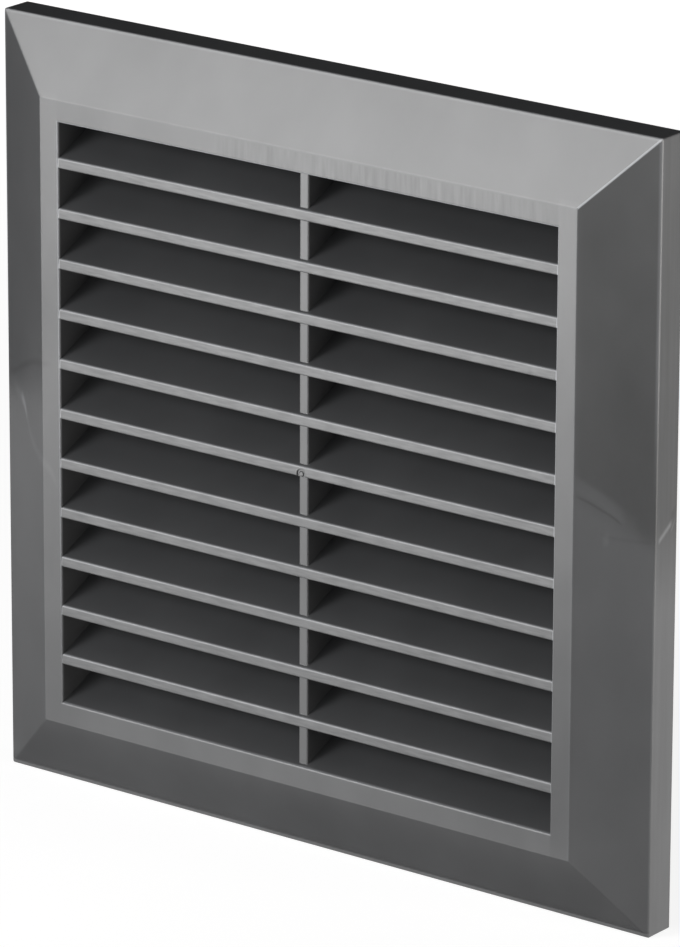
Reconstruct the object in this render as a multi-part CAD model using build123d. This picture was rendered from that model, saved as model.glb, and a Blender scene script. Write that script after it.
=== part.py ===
from build123d import *

import os
from math import atan2, pi, radians, tan

# Square louvred wall vent grille, moulded in one piece of plastic.
# The back of the rim lies on the wall plane Y = 0, the face looks along -Y and Z is up.
# The origin is the middle of the square, on the wall plane. Sizes are in millimetres.

# Frame
face_side = 165.0       # outer side of the square
rim_depth = 7.0         # straight side of the rim, from the wall to the bevel
bevel_width = 15.0      # bevel, seen square on
bevel_rise = 7.0        # how far the border stands in front of the rim
border_width = 4.6      # flat border between bevel and slots
wall = 2.2              # moulded wall of rim, bevel, border and collar
corner_radius = 0.4     # corners of the rim
mitre_radius = 0.25     # front end of the bevel's mitred corners
rim_edge = 0.4          # rounded edge between rim and bevel
border_edge = 0.3       # rounded edge between bevel and border

# Collar round the air way, behind the border
collar_tail = 8.0       # reach behind the slats' back edges
collar_draft = 1.0      # degrees that its outside narrows to the back

# Slats, sloping up to the back
slat_count = 11         # free slats; one more rises from the lower border as a sill
slat_face = 2.33        # height of a slat's front face
slat_lean = 3.0         # degrees that the front face leans back to its upper edge
slat_recess = 0.1       # its lower edge lies this far behind the border
slat_tail = 1.8         # height of its back edge
slat_depth = 14.0       # plane of the border to the back edge
top_trim = 0.75         # the top slot is this much lower than the others
top_exit = 1.1          # what the top slat's back edge leaves clear below the collar
mouth_edge = 0.3        # rounded front edges of slats and slots

# Upright bar in the middle
bar_width = 2.25        # at its front
bar_recess = 1.0        # its front lies this far behind the border
bar_draft = 0.75        # degrees that each side widens to the back
bar_edge = 0.3          # rounded front edges

# Injection gate in the middle of the face
gate_diameter = 2.2
gate_sink = 0.4         # depth of the round recess, from the plane of the border
nub_diameter = 1.2      # broken-off stub in the recess, at its foot
nub_tip = 0.8           # its diameter at the tip
nub_height = 0.35

# Worked-out sizes
front = rim_depth + bevel_rise
border_side = face_side - 2 * bevel_width
opening = border_side - 2 * border_width
slat_pitch = (opening + slat_face + top_trim) / (slat_count + 1)
top_slot = opening - slat_count * slat_pitch
slat_rise = top_slot - top_exit
slat_back = slat_depth - front
collar_back = slat_back + collar_tail
root = wall / 2         # how far slats and bar run into the walls that carry them


def square(side, depth, radius=0):
    """A square parallel to the wall, this far in front of it."""
    shape = RectangleRounded(side, side, radius) if radius else Rectangle(side, side)
    return Plane.XZ.offset(depth) * shape


def frame_body():
    """The full outer form: a straight rim with a mitred bevel in front of it."""
    rim = extrude(square(face_side, 0, corner_radius), rim_depth)
    foot = square(face_side, rim_depth, corner_radius)
    bevel = loft([foot, square(border_side, front, mitre_radius)], ruled=True)
    body = rim + bevel
    body = fillet(edges_at_depth(body, rim_depth), rim_edge)
    return fillet(edges_at_depth(body, front), border_edge)


def edges_at_depth(body, depth):
    """The edges that lie in the plane this far in front of the wall."""
    return body.edges().filter_by_position(Axis.Y, -depth, -depth)


def hollow():
    """The open back of the frame, one wall inside rim, bevel and border."""
    bevel_angle = atan2(bevel_rise, bevel_width)
    straight = rim_depth - wall * tan(pi / 4 - bevel_angle / 2)
    inner_side = face_side - 2 * wall
    roof_side = border_side - 2 * wall * tan(bevel_angle / 2)
    straight_part = extrude(square(inner_side, 0), straight)
    return straight_part + loft([square(inner_side, straight), square(roof_side, front - wall)], ruled=True)


def collar():
    """The square tube round the air way, still solid."""
    start = front - root
    start_plane = Plane((0, -start, 0), x_dir=(1, 0, 0), z_dir=(0, 1, 0))
    outline = start_plane * Rectangle(opening + 2 * wall, opening + 2 * wall)
    return extrude(outline, start + collar_back, taper=collar_draft)


def air_way():
    """The square hole, from behind the collar to in front of the face."""
    reach = collar_back + wall
    return extrude(square(opening, -reach), reach + front + wall)


def slat(top, foot, lean=0):
    """One slat: height of its upper front edge, place of its lower one, and how far the face leans back."""
    section = Polyline(
        (foot + lean, top),
        (foot, top - slat_face),
        (slat_back, top + slat_rise - slat_tail),
        (slat_back, top + slat_rise),
        close=True,
    )
    half_length = opening / 2 + root
    return extrude(Plane.YZ * make_face(section), half_length, both=True)


def free_slat(top):
    """A slat across the air way, with rounded front edges."""
    body = slat(top, slat_recess - front, slat_face * tan(radians(slat_lean)))
    front_edges = body.edges().filter_by(Axis.X).sort_by(Axis.Y)[:2]
    return fillet(front_edges, mouth_edge)


def bar():
    """The upright bar that crosses the slats."""
    bar_front = bar_recess - front
    spread = (slat_back - bar_front) * tan(radians(bar_draft))
    half_front = bar_width / 2
    section = Polyline(
        (-half_front, bar_front),
        (half_front, bar_front),
        (half_front + spread, slat_back),
        (-half_front - spread, slat_back),
        close=True,
    )
    body = extrude(Plane.XY * make_face(section), opening / 2 + root, both=True)
    front_edges = body.edges().filter_by(Axis.Z).sort_by(Axis.Y)[:2]
    return fillet(front_edges, bar_edge)


def mouth_edges(body):
    """The four front edges of the air way, in the plane of the border."""
    reach = opening / 2 + mouth_edge
    return [
        edge
        for edge in edges_at_depth(body, front)
        if abs(edge.center().X) < reach and abs(edge.center().Z) < reach
    ]


def gate():
    """The round recess in the middle of the face, less the stub that stands in it."""
    recess = extrude(Plane.XZ.offset(front - gate_sink) * Circle(gate_diameter / 2), gate_sink)
    stub = Plane.XZ.offset(front - gate_sink) * Cone(
        nub_diameter / 2, nub_tip / 2, nub_height, align=(Align.CENTER, Align.CENTER, Align.MIN)
    )
    return recess - stub


lowest = -opening / 2
vent_grille = frame_body() - hollow() + collar() - air_way()
vent_grille += slat(lowest, -front)
vent_grille = fillet(mouth_edges(vent_grille), mouth_edge)
vent_grille += [free_slat(lowest + k * slat_pitch) for k in range(1, slat_count + 1)]
vent_grille += bar()
vent_grille -= gate()

os.makedirs("parts", exist_ok=True)
export_step(vent_grille, "parts/vent_grille.step")
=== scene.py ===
import bpy
import math
from mathutils import Matrix, Vector


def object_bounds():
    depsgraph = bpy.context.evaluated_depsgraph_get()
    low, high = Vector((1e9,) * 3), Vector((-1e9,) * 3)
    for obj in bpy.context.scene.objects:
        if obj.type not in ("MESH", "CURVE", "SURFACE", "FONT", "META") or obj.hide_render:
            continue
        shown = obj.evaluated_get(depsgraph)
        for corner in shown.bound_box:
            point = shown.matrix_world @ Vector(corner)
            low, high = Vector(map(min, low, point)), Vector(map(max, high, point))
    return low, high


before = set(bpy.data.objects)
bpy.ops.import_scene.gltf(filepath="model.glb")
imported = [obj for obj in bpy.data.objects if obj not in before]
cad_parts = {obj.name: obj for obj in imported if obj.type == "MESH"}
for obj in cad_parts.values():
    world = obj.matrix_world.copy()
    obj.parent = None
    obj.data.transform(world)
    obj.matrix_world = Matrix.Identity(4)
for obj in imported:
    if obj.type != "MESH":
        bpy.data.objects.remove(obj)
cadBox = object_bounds()
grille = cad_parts["vent_grille"]
print("frame loaded:", sorted(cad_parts))


# small helpers for node trees

def addNode(tree, kind, **settings):
    node = tree.nodes.new(kind)
    for name, value in settings.items():
        setattr(node, name, value)
    return node


def setSocket(tree, socket, value):
    # a socket of another node is linked, anything else is written in
    if isinstance(value, bpy.types.NodeSocket):
        tree.links.new(value, socket)
    else:
        socket.default_value = value


def mathNode(tree, operation, *values):
    node = addNode(tree, "ShaderNodeMath", operation=operation)
    for socket, value in zip(node.inputs, values):
        setSocket(tree, socket, value)
    return node.outputs[0]


def product(tree, first, *others):
    for other in others:
        first = mathNode(tree, "MULTIPLY", first, other)
    return first


def withShare(tree, total, mask, amount):
    # the total and this much of the mask
    return mathNode(tree, "MULTIPLY_ADD", mask, amount, total)


def rising(tree, value, low, high):
    # 0 below low, 1 above high, smooth between; low above high makes it fall
    ramp = addNode(tree, "ShaderNodeMapRange", interpolation_type="SMOOTHSTEP")
    setSocket(tree, ramp.inputs["Value"], value)
    ramp.inputs["From Min"].default_value = low
    ramp.inputs["From Max"].default_value = high
    return ramp.outputs[0]


def between(tree, value, low, high, soft):
    # 1 inside low..high, fading to 0 over the soft distance on both sides
    start = rising(tree, value, low - soft, low + soft)
    end = rising(tree, value, high + soft, high - soft)
    return product(tree, start, end)


def noiseNode(tree, coords, fineness, detail=2.0, roughness=0.5):
    # fineness is how many grains lie in a millimetre along X, Y and Z
    place = addNode(tree, "ShaderNodeMapping", vector_type="POINT")
    setSocket(tree, place.inputs["Vector"], coords)
    place.inputs["Scale"].default_value = fineness
    noise = addNode(tree, "ShaderNodeTexNoise", noise_dimensions="3D")
    setSocket(tree, noise.inputs["Vector"], place.outputs[0])
    noise.inputs["Scale"].default_value = 1.0
    noise.inputs["Detail"].default_value = detail
    noise.inputs["Roughness"].default_value = roughness
    return mathNode(tree, "SUBTRACT", noise.outputs[0], 0.5)


# the grille's own sizes in millimetres, where its edges and faces lie
sizes = {"half": 82.5, "rim": 7.0, "front": 14.0, "border": 67.5, "mouth": 62.9, "pitch": 10.74}
perMetre = 1000.0    # millimetres

# where the masks end, in millimetres from the edge or face that they belong to
limits = {
    # a mask that begins at the first number and is full at the second
    "outside": (0.3, 0.0),
    "fronts": (0.6, 0.4),
    "frontEdge": (0.8, 0.3),
    "slatEdge": (0.36, 0.12),
    "mitreEdge": (0.45, 0.1),
    "inMouth": (0.1, -0.3),
    "onBevel": (-0.1, 0.3),
    "beforeRim": (0.3, -0.2),
    "onRim": (-0.9, -0.5),
    "rimSide": (-0.3, -0.1),
    "pastMitre": (-0.3, 0.3),
    # a band from the first number to the second, and its softness
    "mouthBand": (-0.1, 0.2, 0.15),
    "borderBand": (-0.15, 0.15, 0.2),
    "rimBand": (-0.2, 0.25, 0.2),
    "linedBand": (0.0, 4.2, 0.3),
    "knitBand": (-0.5, 0.5, 0.5),
}

# moulded graphite plastic, with the marks that the flowing melt left in it; lengths in millimetres
plastic = {
    "colour": (0.0435, 0.0446, 0.0467),
    "roughness": 0.43,
    "gloss": 0.5,            # the shader's plain value
    "bending": 1.85,         # index of refraction; the metallic pigment makes it high for a plastic
    "edgeRadius": 0.25,      # softens the moulded edges

    # shares of the colour
    "grain": 0.16,           # pigment grain
    "clouds": 0.32,          # slow clouds
    "rimLines": 1.1,         # upright lines on the right side of the rim

    # what is added to the roughness
    "grainDull": 0.05,
    "cloudDull": 0.03,
    "slatDull": 0.035,       # how much rougher the slats' fronts are

    # shares of the gloss
    "cloudGloss": 0.32,
    "slatLines": 0.90,       # lines along the slats
    "borderLines": 0.55,     # upright lines on the top border

    # how many grains lie in a millimetre along X, Y and Z
    "fineness": {
        "grain": (2.2, 2.2, 2.2),
        "clouds": (0.07, 0.07, 0.045),
        "rimLines": (1.0, 0.9, 0.03),
        "slatLines": (0.22, 1.0, 2.2),
        "borderLines": (1.1, 1.0, 0.10),
    },

    # painted highlights along the outer edges, standing in for rounded edges catching the lamps: how much
    # lighter each kind of edge is painted, and where that begins and is full, up or to the right
    "paintedEdgeHighlights": {
        "slat": {"lighter": 3.2},
        "mouth": {"lighter": 8.0, "up": (-100.0, 30.0)},
        "border": {"lighter": 0.5},
        "rim": {"lighter": 2.5, "up": (0.0, 40.0)},
        "mitre": {"lighter": 6.5, "up": (0.0, 30.0), "right": (-120.0, 70.0)},
    },

    # weld lines and marks on the bevels, with one painted highlight on the left weld: path over the face as
    # (x, z), width,
    #  softness across and at the ends, and how much lighter or darker
    "weldLines": {
        "leftWeld": {
            "path": ((-79.6, 2.4), (-78.2, 1.4), (-75.6, -0.4), (-74.4, -3.0), (-72.9, -6.5), (-70.2, -9.2),
                     (-67.7, -10.8), (-66.0, -11.8), (-64.1, -14.5)),
            "width": 1.5, "soft": 1.2, "fade": 1.2, "tone": 0.45,
        },
        # a painted highlight: a lighter glint on the left weld, painted into the colour
        "leftPaintedGlint": {
            "path": ((-76.6, 0.7), (-75.5, -0.6), (-74.6, -2.8)),
            "width": 1.8, "soft": 0.9, "fade": 0.5, "tone": 1.2,
        },
        "leftArc": {
            "path": ((-80.3, 5.0), (-76.1, 7.5), (-71.6, 9.7), (-68.3, 10.4), (-65.6, 10.8)),
            "width": 0.8, "soft": 0.8, "fade": 1.5, "tone": -0.42,
        },
        "rightLine": {
            "path": ((68.1, 8.9), (70.3, 7.9), (72.1, 6.8), (74.4, 5.4), (76.2, 3.9)),
            "width": 0.35, "soft": 0.4, "fade": 0.8, "tone": -0.60,
        },
        "rightBand": {
            "path": ((67.9, 11.6), (72.4, 8.7), (76.7, 5.4)),
            "width": 3.0, "soft": 0.9, "fade": 1.2, "tone": 0.42,
        },
        "rightSecond": {
            "path": ((72.7, 1.5), (77.3, 0.6), (81.9, 0.5)),
            "width": 0.4, "soft": 0.6, "fade": 1.0, "tone": -0.35,
        },
        "rightSmudge": {
            "path": ((79.0, 3.4), (81.8, 1.8)),
            "width": 3.6, "soft": 2.0, "fade": 1.0, "tone": -0.25,
        },
        "rightNick": {
            "path": ((73.0, 0.2), (74.0, 0.6)),
            "width": 2.4, "soft": 0.8, "fade": 0.4, "tone": 0.40,
        },
    },

    # light streaks and a dark spot on the right side of the rim, with paths as (y, z)
    "rimMarks": {
        "streak": {
            "path": ((-6.0, 0.6), (-4.0, 1.9), (-1.9, 3.3)),
            "width": 0.9, "soft": 0.6, "fade": 0.5, "tone": 3.4,
        },
        "second": {
            "path": ((-1.9, 1.7), (-1.2, 2.7), (-0.6, 3.7)),
            "width": 0.4, "soft": 0.5, "fade": 0.3, "tone": 1.6,
        },
        "spot": {
            "path": ((-1.8, 4.9), (-0.9, 5.4), (0.0, 6.1)),
            "width": 1.2, "soft": 0.7, "fade": 0.4, "tone": -1.1,
        },
    },

    # painted shade and light, split along a line on each side: on the bevels partly the melt's tone at the
    # weld and partly painted shade above and painted light below it, on the rim's side a painted light
    # gradient, lighter lower down;
    #  from where outwards, along which path, over what spread, and how much lighter or darker above and below
    #  it
    "weldAndShadeSteps": {
        "leftBevel": {
            "side": -1.0, "outwards": (66.0, 69.0),
            "path": ((-82.5, 6.0), (-76.0, 0.5), (-70.0, -8.5), (-66.0, -12.0)),
            "spread": 5.0, "above": -0.02, "below": 0.0,
        },
        "rightBevel": {
            "side": 1.0, "outwards": (66.0, 69.0),
            "path": ((66.0, 11.0), (74.0, 6.0), (82.5, 1.0)),
            "spread": 8.0, "above": -0.46, "below": 0.32,
        },
        "rightRim": {
            "side": 1.0, "outwards": (82.0, 82.3),
            "path": ((82.0, -8.8), (83.0, -9.2)),
            "spread": 16.0, "above": -0.20, "below": 0.80,
        },
    },

    "slatSoft": (0.4, 0.2),         # softness of the slats' patterns at their ends, and above and below
    "linedX": (-22.0, 63.0, 6.0),   # where the top border is lined: from, to and softness

    # stretches of the border, given the same way, and how much stronger the gloss is there
    "borderStretches": {
        "leftLow": {"x": (-67.5, -63.0, 0.4), "z": (-67.0, 25.0, 7.0), "stronger": -0.03},
        "leftHigh": {"x": (-67.5, -63.0, 0.4), "z": (32.0, 70.0, 7.0), "stronger": 0.06},
        "rightLow": {"x": (63.0, 67.5, 0.4), "z": (-67.0, -8.0, 4.0), "stronger": -0.16},
        "rightHigh": {"x": (63.0, 67.5, 0.4), "z": (44.0, 70.0, 16.0), "stronger": 0.10},
    },

    # where the melt met on the slats' fronts: x, z, length, and how much weaker the gloss is
    "knitMarks": (
        (51.7, 43.3, 0.8, 0.15),
        (56.6, 32.5, 0.9, 0.15),
        (60.5, -21.9, 0.8, 0.18),
        (57.0, -35.2, 0.9, 0.15),
    ),
}


def reached(tree, value, line, name):
    start, full = limits[name]
    return rising(tree, value, line + start, line + full)


def around(tree, value, line, name):
    low, high, soft = limits[name]
    return between(tree, value, line + low, line + high, soft)


def pathHeight(tree, along, path):
    # height of a mark's path, read off a curve through its points
    starts, heights = zip(*path)
    low, high = min(heights), max(heights)
    share = addNode(tree, "ShaderNodeMapRange")
    setSocket(tree, share.inputs["Value"], along)
    share.inputs["From Min"].default_value = starts[0]
    share.inputs["From Max"].default_value = starts[-1]
    line = addNode(tree, "ShaderNodeFloatCurve")
    points = line.mapping.curves[0].points    # a new curve has two
    for index, (start, height) in enumerate(path):
        spot = ((start - starts[0]) / (starts[-1] - starts[0]), (height - low) / (high - low))
        if index < 2:
            points[index].location = spot
        else:
            points.new(*spot)
    line.mapping.update()
    setSocket(tree, line.inputs["Value"], share.outputs[0])
    return mathNode(tree, "MULTIPLY_ADD", line.outputs[0], high - low, low)


def markMask(tree, along, height, mark):
    # 1 on the mark and 0 away from it
    path, half = mark["path"], mark["width"] / 2
    off = mathNode(tree, "SUBTRACT", height, pathHeight(tree, along, path))
    line = between(tree, off, -half, half, mark["soft"])
    return product(tree, line, between(tree, along, path[0][0], path[-1][0], mark["fade"]))


def weldAndShadeChange(tree, x, z, step):
    # painted shade and light: how much darker or lighter one side is painted above and below its line
    outward = mathNode(tree, "MULTIPLY", x, step["side"])
    pastMitre = mathNode(tree, "SUBTRACT", outward, mathNode(tree, "ABSOLUTE", z))
    side = product(tree, rising(tree, outward, *step["outwards"]), reached(tree, pastMitre, 0.0, "pastMitre"))
    off = mathNode(tree, "SUBTRACT", z, pathHeight(tree, x, step["path"]))
    lower = rising(tree, off, step["spread"] / 2, -step["spread"] / 2)
    change = withShare(tree, step["above"], lower, step["below"] - step["above"])
    return product(tree, side, change)


def paintedEdgeHighlightTone(tree, x, y, z, edges):
    # painted highlights: how much lighter the outer edges are painted, one mask for each kind of edge
    wide, high = mathNode(tree, "ABSOLUTE", x), mathNode(tree, "ABSOLUTE", z)
    ring = mathNode(tree, "MAXIMUM", wide, high)    # squares round the middle of the face
    rim, border, mouth = -sizes["rim"], sizes["border"], sizes["mouth"]
    atFront = reached(tree, y, -sizes["front"], "frontEdge")
    inMouth = reached(tree, ring, mouth, "inMouth")
    onRim = reached(tree, ring, sizes["half"], "onRim")
    onBevel = product(tree, reached(tree, ring, border, "onBevel"), reached(tree, y, rim, "beforeRim"))
    fromSlat = mathNode(tree, "PINGPONG", mathNode(tree, "ADD", z, mouth), sizes["pitch"] / 2)
    fromMitre = mathNode(tree, "ABSOLUTE", mathNode(tree, "SUBTRACT", wide, high))
    masks = {
        "slat": product(tree, reached(tree, fromSlat, 0.0, "slatEdge"), inMouth, atFront),
        "mouth": product(tree, around(tree, ring, mouth, "mouthBand"), atFront),
        "border": product(tree, around(tree, ring, border, "borderBand"), atFront),
        "rim": product(tree, around(tree, y, rim, "rimBand"), onRim),
        "mitre": product(tree, reached(tree, fromMitre, 0.0, "mitreEdge"), onBevel),
    }
    total = 0.0
    for name, mask in masks.items():
        for direction, place in (("up", z), ("right", x)):
            if direction in edges[name]:
                mask = product(tree, mask, rising(tree, place, *edges[name][direction]))
        total = withShare(tree, total, mask, edges[name]["lighter"])
    return total


def makePlastic(values):
    material = bpy.data.materials.new("graphitePlastic")
    material.use_nodes = True
    tree = material.node_tree
    shader = tree.nodes["Principled BSDF"]
    coords = addNode(tree, "ShaderNodeTexCoord").outputs["Object"]
    scaled = addNode(tree, "ShaderNodeVectorMath", operation="SCALE")
    setSocket(tree, scaled.inputs[0], coords)
    scaled.inputs["Scale"].default_value = perMetre
    millimetres = scaled.outputs[0]
    split = addNode(tree, "ShaderNodeSeparateXYZ")
    setSocket(tree, split.inputs[0], millimetres)
    x, y, z = split.outputs
    fineness = values["fineness"]
    grain = noiseNode(tree, millimetres, fineness["grain"])
    clouds = noiseNode(tree, millimetres, fineness["clouds"], detail=3.0)

    # colour
    tone = withShare(tree, 1.0, grain, values["grain"])
    tone = withShare(tree, tone, clouds, values["clouds"])
    # painted shade above and painted light below a line along each side
    for step in values["weldAndShadeSteps"].values():
        tone = mathNode(tree, "ADD", tone, weldAndShadeChange(tree, x, z, step))
    outside = reached(tree, y, -sizes["rim"], "outside")    # in front of the rim
    for line in values["weldLines"].values():
        mask = product(tree, markMask(tree, x, z, line), outside)
        tone = withShare(tree, tone, mask, line["tone"])
    rimSide = reached(tree, x, sizes["half"], "rimSide")
    for mark in values["rimMarks"].values():
        mask = product(tree, markMask(tree, y, z, mark), rimSide)
        tone = withShare(tree, tone, mask, mark["tone"])
    rimLines = product(tree, noiseNode(tree, millimetres, fineness["rimLines"]), rimSide)
    tone = withShare(tree, tone, rimLines, values["rimLines"])
    # painted highlights along the outer edges
    tone = mathNode(tree, "ADD", tone, paintedEdgeHighlightTone(tree, x, y, z, values["paintedEdgeHighlights"]))
    colour = addNode(tree, "ShaderNodeVectorMath", operation="SCALE")
    colour.inputs[0].default_value = values["colour"]
    setSocket(tree, colour.inputs["Scale"], tone)
    setSocket(tree, shader.inputs["Base Color"], colour.outputs[0])

    # roughness
    fronts = reached(tree, y, -sizes["front"], "fronts")
    mouth, (endSoft, heightSoft) = sizes["mouth"], values["slatSoft"]
    betweenEnds = between(tree, x, -mouth, mouth, endSoft)
    slats = product(tree, fronts, betweenEnds, between(tree, z, -mouth, mouth, heightSoft))
    rough = withShare(tree, values["roughness"], grain, values["grainDull"])
    rough = withShare(tree, rough, clouds, values["cloudDull"])
    rough = withShare(tree, rough, slats, values["slatDull"])
    setSocket(tree, shader.inputs["Roughness"], rough)

    # gloss
    gloss = withShare(tree, 1.0, clouds, values["cloudGloss"])
    slatLines = noiseNode(tree, millimetres, fineness["slatLines"], detail=3.0, roughness=0.6)
    gloss = withShare(tree, gloss, product(tree, slatLines, slats), values["slatLines"])
    lined = product(tree, fronts, around(tree, z, mouth, "linedBand"), between(tree, x, *values["linedX"]))
    borderLines = noiseNode(tree, millimetres, fineness["borderLines"])
    gloss = withShare(tree, gloss, product(tree, borderLines, lined), values["borderLines"])
    for stretch in values["borderStretches"].values():
        patch = product(tree, between(tree, x, *stretch["x"]), between(tree, z, *stretch["z"]), fronts)
        gloss = withShare(tree, gloss, patch, stretch["stronger"])
    knitSoft = limits["knitBand"][2]
    for markX, markZ, length, weaker in values["knitMarks"]:
        across = between(tree, x, markX - length / 2, markX + length / 2, knitSoft)
        spot = product(tree, across, around(tree, z, markZ, "knitBand"), slats)
        gloss = withShare(tree, gloss, spot, -weaker)
    setSocket(tree, shader.inputs["Specular IOR Level"], product(tree, gloss, values["gloss"]))

    shader.inputs["IOR"].default_value = values["bending"]
    softened = addNode(tree, "ShaderNodeBevel", samples=2)
    softened.inputs["Radius"].default_value = values["edgeRadius"] / perMetre
    setSocket(tree, shader.inputs["Normal"], softened.outputs[0])
    return material


grille.data.materials.clear()
grille.data.materials.append(makePlastic(plastic))
print("plastic made")


# floor, backdrop and light; lengths in metres

white = (1.0, 1.0, 1.0, 1.0)

studio = {
    "floorSize": 60.0,
    "floorColour": (0.3, 0.3, 0.3, 1.0),
    "floorGlow": (0.86, 1.0),    # what the floor adds for camera and reflections, near and far; 1 is white
    "glowReach": (0.25, 0.9),    # where it is near and where it is far
    "worldSeen": 1.0,            # what camera and reflections see behind the floor
    "worldLight": 0.05,          # what lights the object
}


def seenRays(tree):
    # 1 for rays from the camera, a reflection or a see-through surface
    path = addNode(tree, "ShaderNodeLightPath").outputs
    seen = mathNode(tree, "MAXIMUM", path["Is Camera Ray"], path["Is Glossy Ray"])
    return mathNode(tree, "MAXIMUM", seen, path["Is Transmission Ray"])


def makeSheet(name, corners, colour):
    # a flat matt sheet of the studio, which isn't part of the object
    mesh = bpy.data.meshes.new(name)
    mesh.from_pydata(corners, [], [(0, 1, 2, 3)])
    material = bpy.data.materials.new(name)
    material.use_nodes = True
    shader = material.node_tree.nodes["Principled BSDF"]
    shader.inputs["Base Color"].default_value = colour
    shader.inputs["Roughness"].default_value = 1.0
    shader.inputs["Specular IOR Level"].default_value = 0.0
    mesh.materials.append(material)
    sheet = bpy.data.objects.new(name, mesh)
    bpy.context.collection.objects.link(sheet)
    return sheet


def rectangle(xRange, yRange, height):
    (left, right), (near, far) = xRange, yRange
    return [(left, near, height), (right, near, height), (right, far, height), (left, far, height)]


def makeFloor(values, height):
    half = values["floorSize"] / 2
    floor = makeSheet("floor", rectangle((-half, half), (-half, half), height), values["floorColour"])
    tree = floor.data.materials[0].node_tree
    shader = tree.nodes["Principled BSDF"]
    shader.inputs["Emission Color"].default_value = white
    away = addNode(tree, "ShaderNodeVectorMath", operation="LENGTH")
    setSocket(tree, away.inputs[0], addNode(tree, "ShaderNodeTexCoord").outputs["Object"])
    near, far = values["floorGlow"]
    level = withShare(tree, near, rising(tree, away.outputs["Value"], *values["glowReach"]), far - near)
    setSocket(tree, shader.inputs["Emission Strength"], product(tree, seenRays(tree), level))


def makeWorld(values):
    world = bpy.data.worlds.new("studio")
    world.use_nodes = True
    bpy.context.scene.world = world
    tree = world.node_tree
    background = tree.nodes["Background"]
    background.inputs["Color"].default_value = white
    span = values["worldSeen"] - values["worldLight"]
    level = withShare(tree, values["worldLight"], seenRays(tree), span)
    setSocket(tree, background.inputs["Strength"], level)


lamps = {
    "key": {
        "place": (-0.30, -0.54, -0.038), "target": (0.0, 0.0, 0.0),
        "size": (0.27, 0.10), "watts": 1.48, "colour": (1.0, 1.0, 1.0),
    },
    "top": {
        "place": (-0.53, -0.80, 0.41), "target": (0.0, 0.0, 0.0),
        "size": (0.40, 0.26), "watts": 4.05, "colour": (1.0, 1.0, 1.0),
    },
    "front": {
        "place": (-0.148, -0.931, 0.334), "target": (0.0, 0.0, 0.0),
        "size": (0.85, 0.20), "watts": 3.1, "colour": (1.0, 1.0, 1.0),
    },
    "back": {
        "place": (-0.55, 0.85, 0.0), "target": (0.0, 0.0, 0.0),
        "size": (0.60, 0.12), "watts": 1.5, "colour": (1.0, 1.0, 1.0),
    },
    "fill": {
        "place": (0.85, 0.05, 0.02), "target": (0.08, 0.0, 0.0),
        "size": (0.40, 0.20), "watts": 4.4, "colour": (1.0, 0.97, 0.93),
    },
}

# cards that only reflections see, each to keep the bright surroundings out of one of them
standingFlags = {
    "backFlag": {
        "place": (-0.25, 0.35, 0.45), "target": (0.0, 0.0, 0.08),
        "size": (1.6, 1.2), "grey": 0.01,
    },
    "leftFlag": {
        "place": (-0.10, 0.02, 0.038), "target": (0.0, 0.02, 0.038),
        "size": (0.14, 0.084), "grey": 0.7,
    },
    "ductFlag": {
        "place": (0.0, 0.012, 0.0), "target": (0.0, -0.1, 0.0),
        "size": (0.135, 0.135), "grey": 0.01,
    },
}

# the same, lying just above the floor
lyingFlags = {
    "lowFlag": {"x": (-0.40, 0.09), "y": (-0.021, -0.0066), "lift": 0.001, "grey": 0.8},
    "leftLowFlag": {"x": (-0.41, -0.09), "y": (-0.06, 0.05), "lift": 0.0013, "grey": 0.85},
    "rightFlag": {"x": (0.0, 0.27), "y": (-0.74, -0.06), "lift": 0.001, "grey": 0.4},
    "cornerFlag": {"x": (0.07, 0.19), "y": (-0.0695, -0.0075), "lift": 0.0013, "grey": 0.9},
}


def aimed(place, target):
    # turned so that the piece's -Z axis points at the target
    turn = (Vector(target) - Vector(place)).to_track_quat("-Z", "Y")
    return Matrix.Translation(place) @ turn.to_matrix().to_4x4()


def makeLamp(name, values):
    lamp = bpy.data.lights.new(name, "AREA")
    lamp.shape = "RECTANGLE"
    lamp.size, lamp.size_y = values["size"]
    lamp.energy = values["watts"]
    lamp.color = values["colour"]
    holder = bpy.data.objects.new(name, lamp)
    holder.matrix_world = aimed(values["place"], values["target"])
    holder.visible_camera = False
    bpy.context.collection.objects.link(holder)


def makeFlag(name, corners, grey):
    flag = makeSheet(name, corners, (grey, grey, grey, 1.0))
    flag.visible_camera = False
    flag.visible_shadow = False
    flag.visible_diffuse = False


floorHeight = cadBox[0][2]
makeFloor(studio, floorHeight)
makeWorld(studio)
for lampName, lampValues in lamps.items():
    makeLamp(lampName, lampValues)
for flagName, flagValues in standingFlags.items():
    wide, high = (side / 2 for side in flagValues["size"])
    turned = aimed(flagValues["place"], flagValues["target"])
    flat = rectangle((-wide, wide), (-high, high), 0.0)
    makeFlag(flagName, [turned @ Vector(corner) for corner in flat], flagValues["grey"])
for flagName, flagValues in lyingFlags.items():
    flat = rectangle(flagValues["x"], flagValues["y"], floorHeight + flagValues["lift"])
    makeFlag(flagName, flat, flagValues["grey"])
print("studio made")


# camera at the photograph's angle

view = {
    "place": (0.84135, -1.10196, 0.44658),
    "target": (-0.00069, 0.0, -0.00354),
    "rollDegrees": 0.2,
    "lens": 272.73,
}


def makeCamera(values):
    data = bpy.data.cameras.new("camera")
    data.lens = values["lens"]
    camera = bpy.data.objects.new("camera", data)
    roll = Matrix.Rotation(math.radians(values["rollDegrees"]), 4, "Z")
    camera.matrix_world = aimed(values["place"], values["target"]) @ roll
    bpy.context.collection.objects.link(camera)
    bpy.context.scene.camera = camera


makeCamera(view)
bpy.context.scene.view_settings.view_transform = "Standard"
print("camera set")
